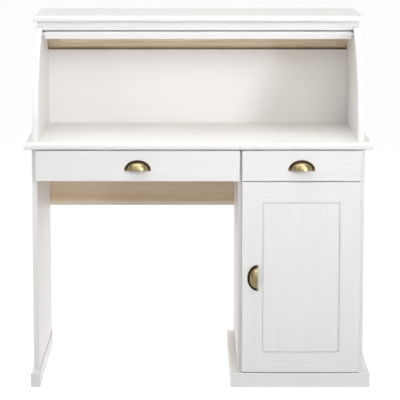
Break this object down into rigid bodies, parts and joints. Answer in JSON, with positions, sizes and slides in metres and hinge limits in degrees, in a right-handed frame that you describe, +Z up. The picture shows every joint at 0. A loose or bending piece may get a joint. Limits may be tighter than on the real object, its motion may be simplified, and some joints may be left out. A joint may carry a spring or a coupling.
{
  "type": "roll top secretary desk",
  "caption": "White lacquered roll top secretary desk with a slatted roll front over the writing surface, drawers, a cupboard pedestal and brass cup pulls.",
  "frame": {"origin": "on the floor under the middle of the desk's outer box", "axes": "+X to the right of a person at the desk, +Y to the back, +Z up"},
  "size_m": [1.058, 0.651, 1.126],
  "materials": {
    "white_paint": "satin white lacquer",
    "raw_pine": "planed, unpainted",
    "hardboard": "smooth, unpainted",
    "antique_brass": "antique, dark in the hollows",
    "steel": "zinc plated",
    "plastic": "moulded white",
    "canvas": "woven strap"
  },
  "bodies": {
    "carcass": {"desk_top": "white_paint", "door_catch": "plastic", "door_pivot_lower": "steel", "door_pivot_upper": "steel", "hutch_back": "raw_pine", "hutch_front_rail": "white_paint", "hutch_inner_back": "white_paint", "hutch_left_side": "white_paint", "hutch_right_side": "white_paint", "hutch_top": "white_paint", "kneehole_back_rail": "raw_pine", "kneehole_rail_lipping": "white_paint", "left_foot_runner": "white_paint", "left_leg_panel": "white_paint", "narrow_drawer_runner_left": "raw_pine", "narrow_drawer_runner_right": "raw_pine", "pedestal_back": "hardboard", "pedestal_divider": "white_paint", "pedestal_floor": "white_paint", "pedestal_inner_panel": "white_paint", "pedestal_outer_panel": "white_paint", "pedestal_shelf": "white_paint", "plinth_back": "white_paint", "plinth_front": "white_paint", "plinth_left": "white_paint", "plinth_right": "white_paint", "shelf_pins": "steel", "wide_drawer_runner_left": "raw_pine", "wide_drawer_runner_right": "raw_pine"},
    "door": {"door_bottom_rail": "white_paint", "door_hinge_stile": "white_paint", "door_latch_stile": "white_paint", "door_panel": "white_paint", "door_pull": "antique_brass", "door_strike": "steel", "door_top_rail": "white_paint"},
    "narrow_drawer": {"narrow_drawer_back": "raw_pine", "narrow_drawer_bottom": "hardboard", "narrow_drawer_front": "white_paint", "narrow_drawer_pull": "antique_brass", "narrow_drawer_side_left": "raw_pine", "narrow_drawer_side_right": "raw_pine"},
    "tambour": {"tambour_lead_rail": "white_paint", "tambour_slat_01": "white_paint", "tambour_slat_02": "white_paint", "tambour_slat_03": "white_paint", "tambour_slat_04": "white_paint", "tambour_slat_05": "white_paint", "tambour_slat_06": "white_paint", "tambour_slat_07": "white_paint", "tambour_slat_08": "white_paint", "tambour_slat_09": "white_paint", "tambour_slat_10": "white_paint", "tambour_straps": "canvas"},
    "wide_drawer": {"wide_drawer_back": "raw_pine", "wide_drawer_bottom": "hardboard", "wide_drawer_front": "white_paint", "wide_drawer_pull": "antique_brass", "wide_drawer_side_left": "raw_pine", "wide_drawer_side_right": "raw_pine"}
  },
  "joints": [
    {"name": "wide_drawer_slide", "type": "slide", "parent": "carcass", "child": "wide_drawer", "axis": [0, -1, 0], "range_m": [0, 0.32]},
    {"name": "narrow_drawer_slide", "type": "slide", "parent": "carcass", "child": "narrow_drawer", "axis": [0, -1, 0], "range_m": [0, 0.32]},
    {"name": "door_swing", "type": "hinge", "parent": "carcass", "child": "door", "pos_m": [0.487, -0.2905, 0.342], "axis": [0, 0, 1], "range_deg": [0, 100]},
    {"name": "tambour_roll", "type": "hinge", "parent": "carcass", "child": "tambour", "pos_m": [0, 0.05002, 0.7885], "axis": [1, 0, 0], "range_deg": [0, 79.3]}
  ]
}
